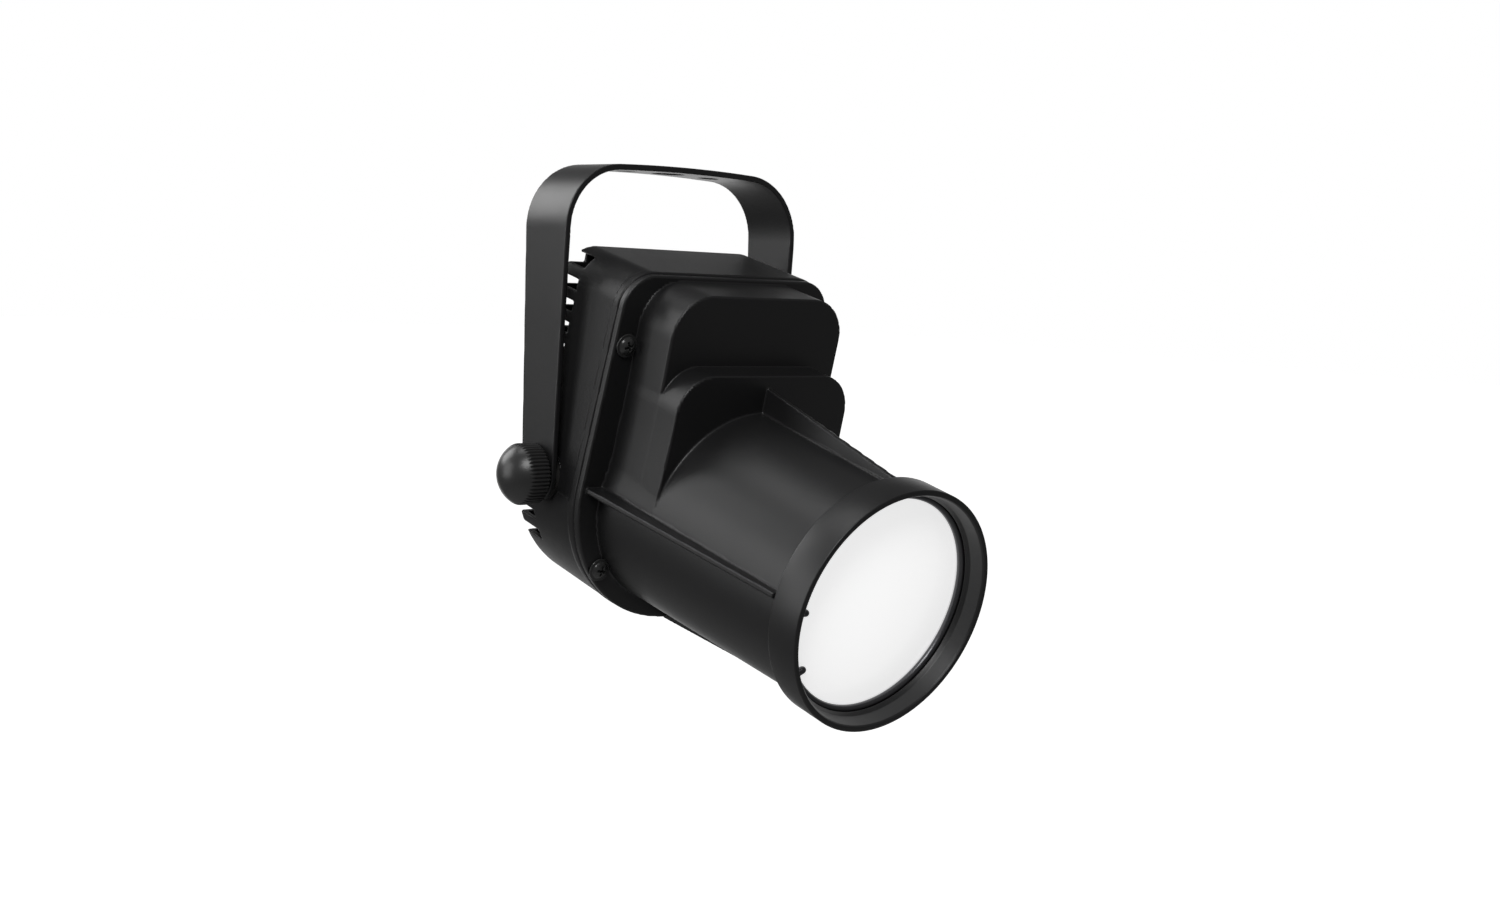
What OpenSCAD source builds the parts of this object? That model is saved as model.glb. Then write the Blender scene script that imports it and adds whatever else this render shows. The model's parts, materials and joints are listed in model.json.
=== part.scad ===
// Compact profile spotlight: U-shaped hanging yoke, vented rear housing, stepped front
// moulding with a ribbed barrel, and a sliding focus tube that carries the front lens.
//
// World frame: origin at the centre of the yoke's hanging hole, on the outer face of the
// crossbar; +Z up, the beam leaves towards -Y, +X to the right seen from behind the lamp.
// Head frame: origin on the tilt pivots, x to the right, u forwards along the optical axis
// and v upwards. slab(), turned(), post() and brick() draw in that frame.

/* [Yoke] */
// Outside width of the yoke
yoke_w = 125.6; // [125.6:0.2:130]
// Height of the crossbar's outer face above the tilt pivots
yoke_h = 132; // [131:1:160]
// Thickness of the yoke's flat bar
yoke_t = 2.5; // [2:0.1:2.5]
// Radius of the yoke's bent corners
yoke_corner_r = 28; // [20:1:36]
// Radius of the crossbar's gentle arch
yoke_arch_r = 750; // [500:50:1500]
// Width of the bar at the crossbar
yoke_top_w = 30; // [26:1:34]
// Width of the bar at the pivots
yoke_foot_w = 23; // [20:1:26]
// Diameter of the central hanging hole
hang_hole_d = 14; // [10:0.5:16]
// Diameter of the two side holes in the crossbar
side_hole_d = 8.5; // [6:0.5:10]
// Distance of the side holes from the centre
side_hole_x = 23; // [20:1:28]

/* [Head] */
// Downward tilt of the optical axis
head_tilt = 13; // [0:1:30]
// Drop of the optical axis below the tilt pivots
axis_drop = 2; // [1:0.5:3]
// Wall thickness of both housings
wall = 2.5; // [2:0.1:2.6]

/* [Rear housing] */
// Half width of the flange at its top corners
flange_top_half = 55.3; // [54.5:0.1:56]
// Height of the flange's top edge above the pivots
flange_top = 94.4; // [94:0.1:95]
// Radius of the flange's round bottom
flange_r = 59.5; // [59:0.1:59.6]
// Radius of the top corners
corner_r = 15; // [12:1:18]
// Distance of the housing's back face behind the pivots
back = 19; // [19:0.5:22]
// Distance of the flange joint in front of the pivots
joint = 25.2; // [25:0.1:26]
// Number of vent slots in each rear corner
vent_count = 14; // [10:1:14]
// Height of a vent slot
vent_h = 4.4; // [3:0.1:5]
// Spacing of the vent slots
vent_pitch = 9.3; // [8:0.1:9.3]
// Depth of the vent slots from the back face
vent_depth = 12.3; // [8:0.1:12.5]

/* [Front housing] */
// Thickness of the flange
flange_t = 3.5; // [3:0.1:4]
// Half width of the upper step
upper_half = 45.6; // [45:0.1:47]
// Height of the upper step above the pivots
upper_top = 92.4; // [92:0.1:93]
// Distance of the upper step's face in front of the pivots
upper_u = 51; // [50:0.5:54]
// Half width of the lower step
lower_half = 45.9; // [45:0.1:47]
// Height of the lower step above the pivots
lower_top = 62.8; // [62:0.1:64]
// Distance of the lower step's face in front of the pivots
lower_u = 63.2; // [62:0.1:66]
// Barrel radius at the flange
barrel_r_rear = 49.8; // [49.5:0.1:50]
// Barrel radius at its front end
barrel_r_front = 46.3; // [46:0.1:46.5]
// Distance of the barrel's front end in front of the pivots
barrel_u = 142.7; // [140:0.1:145]
// Thickness of the barrel's ribs
rib_t = 2.4; // [2:0.1:3]

/* [Focus tube] */
// Outside radius of the collar
collar_r = 50; // [49.5:0.1:51]
// Length of the collar
collar_len = 15.4; // [15:0.1:18]
// Travel of the focus tube
focus_travel = 12; // [8:1:14]
// Outside radius of the sliding sleeve
sleeve_r = 43.42; // [43.4:0.01:43.46]
// Radius of the circlip's wire
clip_wire_r = 1.5; // [1.2:0.1:1.5]

/* [Knobs] */
// Radius of the knobs
knob_r = 13; // [11:0.1:14]
// Length of a knob's grip
knob_grip = 8.4; // [7:0.1:10]
// Height of a knob's dome
knob_dome = 8; // [6:0.1:9]
// Number of grip flutes round a knob
knob_flutes = 48; // [24:4:52]

/* [Gobo wheel] */
// Radius of the gobo wheel
wheel_r = 40; // [40:0.1:40.5]
// Radius of the circle that the gobos sit on
gobo_circle_r = 30; // [29.5:0.1:30]
// Number of places on the wheel, the last one left open
gobo_places = 7; // [6:1:7]

/* [Hidden] */
$fn = 96;
eps = 0.01;
axis_v = -axis_drop;
arm_in = yoke_w / 2 - yoke_t;
flange_u = joint + flange_t;
side_inset = 1.2;
skirt_v = -4;
lip_len = 4.2;
inner_back = wall - back;
collar_u = barrel_u + 0.3;
rim_u = collar_u + collar_len;
guide_slot_r = 1.9;
lens_u = collar_u + 1.8;
lens_r = 44.6;
lens_edge = 2;
lens_sag = 4.6;
pad_x = 58.4;
pad_r = 11;
insert_r = 4.5;
washer_t = 0.8;
knob_x = yoke_w / 2 + 0.05 + washer_t;
stud_r = 2.95;
stud_hole_r = 3;
// Screws that hold the two housings together: half of them, mirrored in x
flange_screws = [[50.2, 65], [43.2, -33.6]];
screw_head_r = 4.5;
screw_seat = 3.6;
// Heads of the small screws inside
small_head_r = 2.8;
small_head_h = 1.8;
// Wheel, motor and gate
wheel_v = gobo_circle_r - axis_drop;
gate_u = 32;
gate_t = 1.5;
wheel_u = 36.2;
wheel_t = 1.2;
motor_v = wheel_v + 8;
motor_screw_x = 17.5;
gate_posts = [[36, 55.5], [35, -25]];
// Light source
led_u = 5.6;
mirror_u = 22;
mirror_mid = 26;
mirror_a = 22;
mirror_b = 19;
mirror_steps = 16;
// Rear wall fittings
fan_half = 20;
fan_t = 10;
fan_hole_at = 16;
fan_hole_r = 1.55;
fan_mouth_r = 18.5;
fan_front = fan_t - 1.4;
guard_t = 1.2;
guard_wire_r = 0.7;
panel_v = 69;
button_v = 58;
display_v = 77;
display_w = 31;
display_h = 12.6;
button_r = 4;
button_x = [-24, -8, 8, 24];
switch_x = 31;
switch_v = 37;
inlet_v = -38.5;
socket_v = -33.5;
drawer_v = -48.5;
inlet_pin_at = [[-7, -1.5], [7, -1.5], [0, 2.5]];
board_u = -12;
driver_u = 8;
// Mounting posts inside the rear housing, on both sides
sink_post_x = 26;
sink_post_v = [-26, 22];
driver_post_x = 37;
driver_post_v = [50, 84];
control_post_x = 31;
control_post_v = [54.5, 83];

// ---------- frames and shared shapes ----------

module in_head() translate([0, 0, -yoke_h]) rotate([head_tilt, 0, 0]) children();

// A flat outline in x and v, from u0 to u1
module slab(u0, u1) translate([0, -u0, 0]) rotate([90, 0, 0]) linear_extrude(u1 - u0) children();

// A profile of radius and u, turned about an axis along u
module turned(v = axis_v, x = 0) translate([x, 0, v]) rotate([90, 0, 0]) rotate_extrude() children();

module post(u0, u1, r, x, v) translate([x, -u0, v]) rotate([90, 0, 0]) cylinder(r = r, h = u1 - u0);

module brick(x0, x1, u0, u1, v0, v1) translate([x0, -u1, v0]) cube([x1 - x0, u1 - u0, v1 - v0]);

// A cylinder along x, on the pivot axis
module pin_x(x0, x1, r) translate([x0, 0, 0]) rotate([0, 90, 0]) cylinder(r = r, h = x1 - x0);

module both_sides() {
    children();
    mirror([1, 0, 0]) children();
}

module round_rect(w, h, r) {
    square([w - 2 * r, h], center = true);
    square([w, h - 2 * r], center = true);
    for (x = [-1, 1], y = [-1, 1]) translate([x * (w / 2 - r), y * (h / 2 - r)]) circle(r);
}

// The housing outline: a round bottom, two tapering sides and rounded top corners
module tapered_outline(top_half, top_v, r, bottom_r) {
    cx = top_half - r;
    cv = top_v - r;
    dist = norm([cx, cv]);
    a = atan2(cv, cx) - acos((bottom_r - r) / dist);
    n = [cos(a), sin(a)];
    low = bottom_r * n;
    high = [cx, cv] + r * n;
    circle(bottom_r, $fn = 180);
    for (s = [-1, 1]) translate([s * cx, cv]) circle(r);
    polygon([low, high, [cx, top_v], [-cx, top_v], [-high[0], high[1]], [-low[0], low[1]]]);
}

// A step outline: straight sides down to v = 0 and rounded top corners
module rounded_top(half, top_v, r) {
    translate([-half, 0]) square([2 * half, top_v - r]);
    translate([r - half, 0]) square([2 * (half - r), top_v]);
    for (s = [-1, 1]) translate([s * (half - r), top_v - r]) circle(r);
}

// A pan head screw pointing backwards along u, with its head's underside at u and a cross recess
module pan_screw(u, x, v, head_r, head_h, shank_r, shank_len) {
    ball_r = (head_r * head_r + head_h * head_h) / (2 * head_h);
    slot = head_r * 1.05;
    difference() {
        translate([x, -u, v]) rotate([90, 0, 0]) union() {
            rotate_extrude($fn = 48) intersection() {
                translate([0, head_h - ball_r]) circle(ball_r, $fn = 96);
                square([head_r, head_h]);
            }
            translate([0, 0, -shank_len]) cylinder(r = shank_r, h = shank_len + eps, $fn = 32);
        }
        for (a = [0, 90]) translate([x, -u - head_h, v]) rotate([0, a, 0])
            cube([slot, 1.7 * head_h, 0.22 * head_r], center = true);
    }
}

// ---------- yoke ----------

// Outline of the bent bar in x and z, at a distance in from its outer face
module yoke_outline(inset) {
    corner = yoke_corner_r - inset;
    arch = yoke_arch_r - inset;
    cx = yoke_w / 2 - yoke_corner_r;
    arch_z = -yoke_arch_r;
    cz = arch_z + sqrt(pow(yoke_arch_r - yoke_corner_r, 2) - cx * cx);
    reach = 2 * arch;
    side = cx * reach / (yoke_arch_r - yoke_corner_r);
    for (s = [-1, 1]) translate([s * cx, cz]) circle(corner);
    intersection() {
        translate([0, arch_z]) circle(arch, $fn = 720);
        polygon([[0, arch_z], [side, arch_z + reach], [-side, arch_z + reach]]);
        translate([-cx - corner, cz - 1]) square([2 * (cx + corner), 2 * corner]);
    }
    translate([-cx - corner, -2 * yoke_h]) square([2 * (cx + corner), 2 * yoke_h + cz]);
}

module yoke_bracket() color([0.09, 0.09, 0.1]) difference() {
    intersection() {
        translate([0, yoke_top_w, 0]) rotate([90, 0, 0]) linear_extrude(2 * yoke_top_w) difference() {
            yoke_outline(0);
            yoke_outline(yoke_t);
        }
        translate([-yoke_w, 0, 0]) rotate([90, 0, 90]) linear_extrude(2 * yoke_w) {
            translate([0, -yoke_h]) circle(d = yoke_foot_w);
            polygon([[-yoke_foot_w / 2, -yoke_h], [yoke_foot_w / 2, -yoke_h],
                [yoke_top_w / 2, -yoke_corner_r], [yoke_top_w / 2, 1],
                [-yoke_top_w / 2, 1], [-yoke_top_w / 2, -yoke_corner_r]]);
        }
    }
    translate([0, 0, -2 * yoke_t]) cylinder(d = hang_hole_d, h = 3 * yoke_t);
    for (s = [-1, 1]) translate([s * side_hole_x, 0, -2 * yoke_t])
        cylinder(d = side_hole_d, h = 3 * yoke_t);
    translate([0, 0, -yoke_h]) pin_x(-yoke_w, yoke_w, stud_hole_r + 0.3);
}

module washer() color("silver") difference() {
    pin_x(yoke_w / 2 + 0.05, yoke_w / 2 + 0.05 + washer_t, 9);
    pin_x(0, yoke_w, stud_hole_r + 0.2);
}

module right_washer() in_head() washer();
module left_washer() in_head() mirror([1, 0, 0]) washer();

module knob() color([0.1, 0.1, 0.11]) translate([knob_x, 0, 0]) rotate([0, 90, 0]) {
    dome_r = (knob_r * knob_r + knob_dome * knob_dome) / (2 * knob_dome);
    difference() {
        linear_extrude(knob_grip) difference() {
            circle(knob_r);
            for (i = [0 : knob_flutes - 1]) rotate(i * 360 / knob_flutes)
                translate([knob_r + 0.15, 0]) circle(0.55, $fn = 16);
        }
        translate([0, 0, -eps]) cylinder(r = stud_r, h = knob_grip - 2);
    }
    translate([0, 0, knob_grip]) rotate_extrude() intersection() {
        translate([0, knob_dome - dome_r]) circle(dome_r, $fn = 180);
        square([knob_r - 0.7, knob_dome]);
    }
}

module right_knob() in_head() knob();
module left_knob() in_head() mirror([1, 0, 0]) knob();

module stud() color("silver") pin_x(51.5, knob_x + knob_grip - 2, stud_r);

module right_stud() in_head() stud();
module left_stud() in_head() mirror([1, 0, 0]) stud();

module pivot_inserts() color("goldenrod") in_head() both_sides() difference() {
    pin_x(50.2, pad_x - 0.2, insert_r);
    pin_x(0, yoke_w, stud_hole_r);
}

module friction_discs() color([0.2, 0.2, 0.2]) in_head() both_sides() difference() {
    pin_x(pad_x, arm_in - 0.05, pad_r);
    pin_x(0, yoke_w, stud_hole_r + 0.2);
}

// ---------- rear housing ----------

module full_outline() tapered_outline(flange_top_half, flange_top, corner_r, flange_r);

module body_outline(inset) tapered_outline(flange_top_half - side_inset - inset,
    flange_top + 0.6 - inset, corner_r - inset, flange_r - side_inset - inset);

module below(v) intersection() {
    children();
    translate([-100, v - 200]) square([200, 200]);
}

module vents() for (i = [0 : vent_count - 1]) both_sides() {
    v = 90 - i * vent_pitch;
    brick(44, 70, -back - 1, vent_depth - back, v - vent_h / 2, v + vent_h / 2);
}

module rear_shell() difference() {
    union() {
        slab(-back, joint) body_outline(0);
        slab(-back, joint) below(skirt_v) full_outline();
        slab(joint - lip_len, joint) full_outline();
    }
    slab(inner_back, joint + 1) body_outline(wall - side_inset);
    vents();
}

// The display's window and the button holes, cut through the back wall and its panel
module panel_openings() {
    translate([0, display_v]) square([display_w, display_h], center = true);
    for (x = button_x) translate([x, button_v]) circle(button_r + 0.3);
}

module at_fan_holes() for (x = [-fan_hole_at, fan_hole_at], v = [-fan_hole_at, fan_hole_at])
    translate([x, 0, axis_v + v]) children();

// Openings cut through the back wall for the fan, panel and sockets
module rear_cuts() {
    slab(-back - 1, inner_back + 1) {
        translate([0, axis_v]) circle(fan_mouth_r);
        translate([0, inlet_v]) round_rect(27.4, 30.4, 2);
        translate([switch_x, switch_v]) round_rect(13.4, 19.4, 1);
        panel_openings();
    }
    at_fan_holes() post(-back - 1, 0, fan_hole_r, 0, 0);
}

module rear_housing() color([0.09, 0.09, 0.1]) in_head() difference() {
    union() {
        difference() {
            rear_shell();
            rear_cuts();
        }
        both_sides() {
            pin_x(48, pad_x, insert_r + 2.5);
            pin_x(54, pad_x, pad_r + 0.5);
            for (p = flange_screws) intersection() {
                post(6, joint, 5.2, p[0], p[1]);
                slab(0, 40) full_outline();
            }
            for (v = sink_post_v) post(inner_back, 1, 3, sink_post_x, v);
            for (v = driver_post_v) post(inner_back, driver_u, 3, driver_post_x, v);
            for (v = control_post_v) post(inner_back, board_u, 2, control_post_x, v);
        }
    }
    both_sides() {
        pin_x(47, 61, insert_r + 0.02);
        pin_x(pad_x, 61, pad_r + 1);
        for (p = flange_screws) post(8, joint + 1, 1.95, p[0], p[1]);
        for (v = sink_post_v) post(-8, 2, 1.3, sink_post_x, v);
        for (v = driver_post_v) post(-2, driver_u + 1, 1.3, driver_post_x, v);
        for (v = control_post_v) post(board_u - 4, board_u + 1, 1.05, control_post_x, v);
    }
}

// ---------- front housing ----------

// Outline of a rib in u and distance from the optical axis
module rib(u0, r0, r1) rotate([0, 0, -90]) linear_extrude(rib_t, center = true)
    polygon([[u0, 30], [u0, r0], [barrel_u - 1, r1], [barrel_u - 1, 30]]);

module front_ribs() {
    translate([0, 0, 2.5]) both_sides() rib(joint + 0.5, 57.5, 49.3);
    translate([0, 0, axis_v]) {
        rotate([0, 90, 0]) rib(joint + 0.5, 57.2, 48.6);
        rotate([0, -90, 0]) rib(lower_u - 1, 59.6, 49.6);
    }
}

module front_cavity() {
    slab(joint - 1, upper_u - wall) rounded_top(upper_half - wall, upper_top - wall, 16);
    slab(joint - 1, lower_u - wall) rounded_top(lower_half - wall, lower_top - wall, 14.5);
    turned() polygon([[0, joint - 1], [47.2, joint - 1], [45, 96], [43.5, 96],
        [43.5, barrel_u + 1], [0, barrel_u + 1]]);
}

module front_housing() color([0.1, 0.1, 0.11]) in_head() difference() {
    union() {
        difference() {
            union() {
                slab(joint, flange_u) full_outline();
                slab(joint, upper_u) rounded_top(upper_half, upper_top, 18.5);
                slab(joint, lower_u) rounded_top(lower_half, lower_top, 17);
                turned() polygon([[0, joint], [barrel_r_rear, joint],
                    [barrel_r_front, barrel_u], [0, barrel_u]]);
                front_ribs();
            }
            front_cavity();
        }
        both_sides() {
            post(gate_u + gate_t, lower_u - wall / 2, 3, gate_posts[0][0], gate_posts[0][1]);
            post(gate_u + gate_t, 48, 5.5, gate_posts[1][0], gate_posts[1][1]);
        }
    }
    both_sides() {
        for (p = flange_screws) {
            post(flange_u, flange_u + screw_seat, screw_head_r + 0.4, p[0], p[1]);
            post(joint - 1, lower_u, 2.1, p[0], p[1]);
        }
        for (p = gate_posts) post(gate_u, gate_u + 10, 1.3, p[0], p[1]);
    }
    in_guide() translate([0, 0, 40]) cylinder(r = 1.55, h = 20);
}

module flange_screws() color([0.05, 0.05, 0.05]) in_head() both_sides() for (p = flange_screws)
    pan_screw(flange_u, p[0], p[1], screw_head_r, 3, 1.9, 15);

// ---------- focus tube ----------

// Local frame of the guide screw: +Z points outwards, square to the optical axis
module in_guide() translate([0, -118, axis_v]) rotate([0, 140, 0]) children();

module focus_tube() color([0.1, 0.1, 0.11]) in_head() difference() {
    turned() polygon([[41.4, 100], [sleeve_r - 0.6, 100], [sleeve_r, 100.6], [sleeve_r, 101.5],
        [sleeve_r - 1.4, 101.5], [sleeve_r - 1.4, 103.1], [sleeve_r, 103.1],
        [sleeve_r, collar_u], [collar_r - 0.6, collar_u], [collar_r, collar_u + 0.6],
        [collar_r, rim_u - 0.5], [collar_r - 0.5, rim_u], [47.9, rim_u], [47.4, rim_u - 0.6],
        [46.2, rim_u - 7.2], [45.2, rim_u - 8.4], [45.2, rim_u - 8.6], [46.2, rim_u - 9],
        [46.2, rim_u - 11.4], [44.8, rim_u - 11.6], [44.8, collar_u + 1.2],
        [41.4, collar_u + 1.2]]);
    in_guide() for (u = [0, focus_travel]) translate([0, u, 38]) cylinder(r = guide_slot_r, h = 8);
    in_guide() translate([-guide_slot_r, 0, 38]) cube([2 * guide_slot_r, focus_travel, 8]);
}

module focus_ring() color([0.05, 0.05, 0.05]) in_head() turned()
    translate([sleeve_r - 0.66, 102.3]) circle(0.7, $fn = 32);

module focus_guide_screw() color("dimgray") in_head() in_guide() {
    translate([0, 0, 41.9]) cylinder(r = 1.5, h = 6);
    difference() {
        translate([0, 0, 47.2]) cylinder(r = 2.8, h = 1.8);
        translate([0, 0, 48.6]) cube([4, 0.8, 1.2], center = true);
    }
}

module lens_gasket() color([0.15, 0.15, 0.15]) in_head() turned()
    translate([41.6, collar_u + 1.2]) square([2.9, 0.6]);

module front_lens() color([0.85, 0.92, 0.95]) in_head() turned() {
    ball_r = (lens_r * lens_r + lens_sag * lens_sag) / (2 * lens_sag);
    translate([0, lens_u]) square([lens_r, lens_edge]);
    intersection() {
        translate([0, lens_u + lens_edge + lens_sag - ball_r]) circle(ball_r, $fn = 720);
        translate([0, lens_u + lens_edge - eps]) square([lens_r, lens_sag + 1]);
    }
}

// Spring wire ring with a gap on the left, its two ends bent in towards the lens
module lens_circlip() color([0.12, 0.12, 0.13]) in_head() {
    ring_r = 44.6;
    ring_u = lens_u + lens_edge + clip_wire_r + 0.05;
    translate([0, -ring_u, axis_v]) rotate([90, 0, 0]) {
        rotate([0, 0, -144]) rotate_extrude(angle = 324) translate([ring_r, 0])
            circle(clip_wire_r, $fn = 32);
        for (a = [180, 216]) rotate([0, 0, a]) translate([ring_r, 0, 0]) rotate([0, -78, 0])
            translate([0, 0, -1]) cylinder(r = clip_wire_r, h = 7, $fn = 32);
    }
}

// ---------- light source ----------

module heat_sink() color("silver") in_head() difference() {
    union() {
        brick(-30, 30, 1, 4, -30, 26);
        for (i = [0 : 10]) brick(i * 4 - 20.6, i * 4 - 19.4, -5.4, 1 + eps, -21, 24);
    }
    both_sides() for (v = sink_post_v) post(0, 5, 1.6, sink_post_x, v);
}

module heat_sink_screws() color("silver") in_head() both_sides() for (v = sink_post_v)
    pan_screw(4, sink_post_x, v, small_head_r, small_head_h, 1.25, 8);

module led_board() color("white") in_head() brick(-20, 20, 4, led_u, axis_v - 20, axis_v + 20);

module led_emitter() color("gold") in_head() {
    brick(-5, 5, led_u, led_u + 0.6, axis_v - 5, axis_v + 5);
    turned() translate([0, led_u + 0.6]) square([4.5, 0.5]);
}

// Radius of the ellipsoidal mirror at u: one focus on the emitter
function mirror_r(u) = mirror_b * sqrt(1 - pow((u - mirror_mid) / mirror_a, 2));

// Points along the mirror's inner curve, set out by a distance
function mirror_curve(out) = [for (i = [0 : mirror_steps])
    let (u = led_u + 0.3 + i * (mirror_u - led_u - 0.3) / mirror_steps) [mirror_r(u) + out, u]];

function reversed(points) = [for (i = [len(points) - 1 : -1 : 0]) points[i]];

module reflector() color("silver") in_head() turned()
    polygon(concat(mirror_curve(0), reversed(mirror_curve(1.2))));

module condenser_holder() color([0.25, 0.25, 0.27]) in_head() turned() polygon([
    [17, mirror_u + 0.1], [21.5, mirror_u + 0.1], [21.5, gate_u], [18.2, gate_u],
    [18.2, mirror_u + 2], [17, mirror_u + 2]]);

module condenser_lens() color([0.85, 0.92, 0.95]) in_head() turned() {
    translate([0, mirror_u + 2.1]) square([18.1, 2]);
    intersection() {
        translate([0, mirror_u + 9.1 - 35]) circle(35, $fn = 360);
        translate([0, mirror_u + 4.1 - eps]) square([18.1, 8]);
    }
}

module gate_plate() color("dimgray") in_head() difference() {
    slab(gate_u, gate_u + gate_t) translate([0, 14.5]) round_rect(79, 88, 8);
    post(gate_u - 1, gate_u + 3, 10, 0, axis_v);
    post(gate_u - 1, gate_u + 3, 6, 0, wheel_v);
    both_sides() {
        for (p = gate_posts) post(gate_u - 1, gate_u + 3, 1.6, p[0], p[1]);
        post(gate_u - 1, gate_u + 3, 1.6, motor_screw_x, motor_v);
    }
}

module gate_screws() color("silver") in_head() both_sides() for (p = gate_posts)
    mirror([0, 1, 0]) pan_screw(-gate_u, p[0], p[1], small_head_r, small_head_h, 1.25, 8);

// ---------- gobo wheel ----------

module gobo_motor() color("silver") in_head() difference() {
    union() {
        post(13, gate_u, 14, 0, motor_v);
        slab(gate_u - 0.9, gate_u) translate([0, motor_v]) round_rect(42, 7, 3.4);
    }
    post(20, gate_u + 1, 2.55, 0, wheel_v);
    both_sides() post(gate_u - 3, gate_u + 1, 1.6, motor_screw_x, motor_v);
}

module motor_screws() color("dimgray") in_head() both_sides() mirror([0, 1, 0])
    pan_screw(0.9 - gate_u, motor_screw_x, motor_v, small_head_r, small_head_h, 1.5, 2.6);

module gobo_shaft() color("silver") in_head() post(20.5, 41, 2.5, 0, wheel_v);

module at_gobos(count) for (i = [0 : count - 1]) translate([0, 0, wheel_v])
    rotate([0, i * 360 / gobo_places, 0]) translate([0, 0, -gobo_circle_r]) children();

module gobo_wheel() color("gray") in_head() difference() {
    union() {
        post(wheel_u, wheel_u + wheel_t, wheel_r, 0, wheel_v);
        post(34.2, 40, 7, 0, wheel_v);
    }
    post(34, 42, 2.5, 0, wheel_v);
    at_gobos(gobo_places) {
        post(wheel_u - 1, wheel_u + 3, 8, 0, 0);
        post(wheel_u + 0.5, wheel_u + 3, 9.6, 0, 0);
    }
}

module gobos() color("lightgray") in_head() at_gobos(gobo_places - 1) difference() {
    post(wheel_u + 0.5, wheel_u + 0.8, 9.5, 0, 0);
    for (i = [0 : 5]) rotate([0, i * 60, 0]) translate([0, 0, 4.6]) post(0, 60, 1.1, 0, 0);
    post(0, 60, 2, 0, 0);
}

module gobo_clips() color("silver") in_head() at_gobos(gobo_places - 1) difference() {
    post(wheel_u + 0.8, wheel_u + wheel_t, 9.5, 0, 0);
    post(wheel_u, wheel_u + 3, 8.4, 0, 0);
    brick(-1.5, 1.5, wheel_u, wheel_u + 3, -12, 0);
}

// ---------- electronics ----------

module driver_board() color("darkgreen") in_head() difference() {
    brick(-41, 41, driver_u, driver_u + 1.6, 46, 88);
    both_sides() for (v = driver_post_v) post(driver_u - 1, driver_u + 3, 1.6, driver_post_x, v);
    both_sides() brick(38, 45, driver_u - 1, driver_u + 3, 86, 90);
}

module driver_parts() color("khaki") in_head() {
    brick(-28, -6, -6, driver_u, 60, 80);
    for (x = [2, 13, 24]) post(-7, driver_u, 4.5, x, 76);
    brick(0, 28, -1, driver_u, 54, 66);
    brick(-27, -10, 2, driver_u, 50, 56);
}

module driver_screws() color("silver") in_head() both_sides() for (v = driver_post_v)
    pan_screw(driver_u + 1.6, driver_post_x, v, small_head_r, small_head_h, 1.25, 8);

module control_board() color("darkgreen") in_head() difference() {
    brick(-33.5, 33.5, board_u, board_u + 1.6, 52, 86);
    both_sides() for (v = control_post_v) post(board_u - 1, board_u + 3, 1.25, control_post_x, v);
}

module tact_switches() color("dimgray") in_head() for (x = button_x) {
    brick(x - 3, x + 3, board_u - 1.4, board_u, button_v - 3, button_v + 3);
    post(board_u - 1.9, board_u - 1.3, 1.5, x, button_v);
}

module display_module() color([0.2, 0.2, 0.2]) in_head()
    brick(-15, 15, inner_back + 0.2, board_u, display_v - 6, display_v + 6);

module control_screws() color("silver") in_head() both_sides() for (v = control_post_v)
    pan_screw(board_u + 1.6, control_post_x, v, 1.9, 1.2, 1, 5);

module control_panel() color([0.14, 0.14, 0.15]) in_head() difference() {
    slab(-back - 1.2, -back) translate([0, panel_v]) round_rect(72, 36, 3);
    slab(-back - 2, 1 - back) panel_openings();
}

module display_window() color([0.3, 0.02, 0.02]) in_head()
    brick(0.1 - display_w / 2, display_w / 2 - 0.1, -back - 1.1, inner_back,
        display_v - 6.2, display_v + 6.2);

// A push button with a collar behind the wall that holds it in
module menu_button(i) color([0.3, 0.3, 0.32]) in_head() {
    x = button_x[i];
    post(-back - 2.7, inner_back + 0.4, button_r, x, button_v);
    post(inner_back + 0.35, inner_back + 0.9, button_r + 1.1, x, button_v);
    post(inner_back + 0.8, board_u - 3, 1.5, x, button_v);
}

module menu_button_1() menu_button(0);
module menu_button_2() menu_button(1);
module menu_button_3() menu_button(2);
module menu_button_4() menu_button(3);

// ---------- rear wall fittings ----------

module fan_frame() color([0.15, 0.15, 0.15]) in_head() difference() {
    union() {
        difference() {
            slab(inner_back, inner_back + fan_t) translate([0, axis_v])
                round_rect(2 * fan_half, 2 * fan_half, 3);
            post(inner_back - 1, inner_back + fan_t + 1, 19, 0, axis_v);
        }
        post(inner_back + fan_front, inner_back + fan_t, 10.5, 0, axis_v);
        for (a = [45 : 90 : 315]) translate([0, 0, axis_v]) rotate([0, a, 0])
            brick(9, 19.5, inner_back + fan_front, inner_back + fan_t, -1, 1);
        post(inner_back + 3, inner_back + fan_t, 1.5, 0, axis_v);
    }
    at_fan_holes() post(inner_back - 1, inner_back + fan_t + 1, fan_hole_r, 0, 0);
}

module fan_rotor() color([0.1, 0.1, 0.1]) in_head() difference() {
    union() {
        post(inner_back + 0.8, inner_back + fan_t - 1.8, 10, 0, axis_v);
        intersection() {
            translate([0, 0, axis_v]) for (i = [0 : 6]) rotate([0, i * 360 / 7, 0])
                translate([0, -inner_back - 4.6, 14]) rotate([0, 0, 38])
                    cube([9, 1.1, 9.4], center = true);
            post(inner_back + 1, inner_back + fan_t - 2, 18.4, 0, axis_v);
        }
    }
    post(inner_back + 2.5, inner_back + fan_t, 1.56, 0, axis_v);
}

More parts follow.
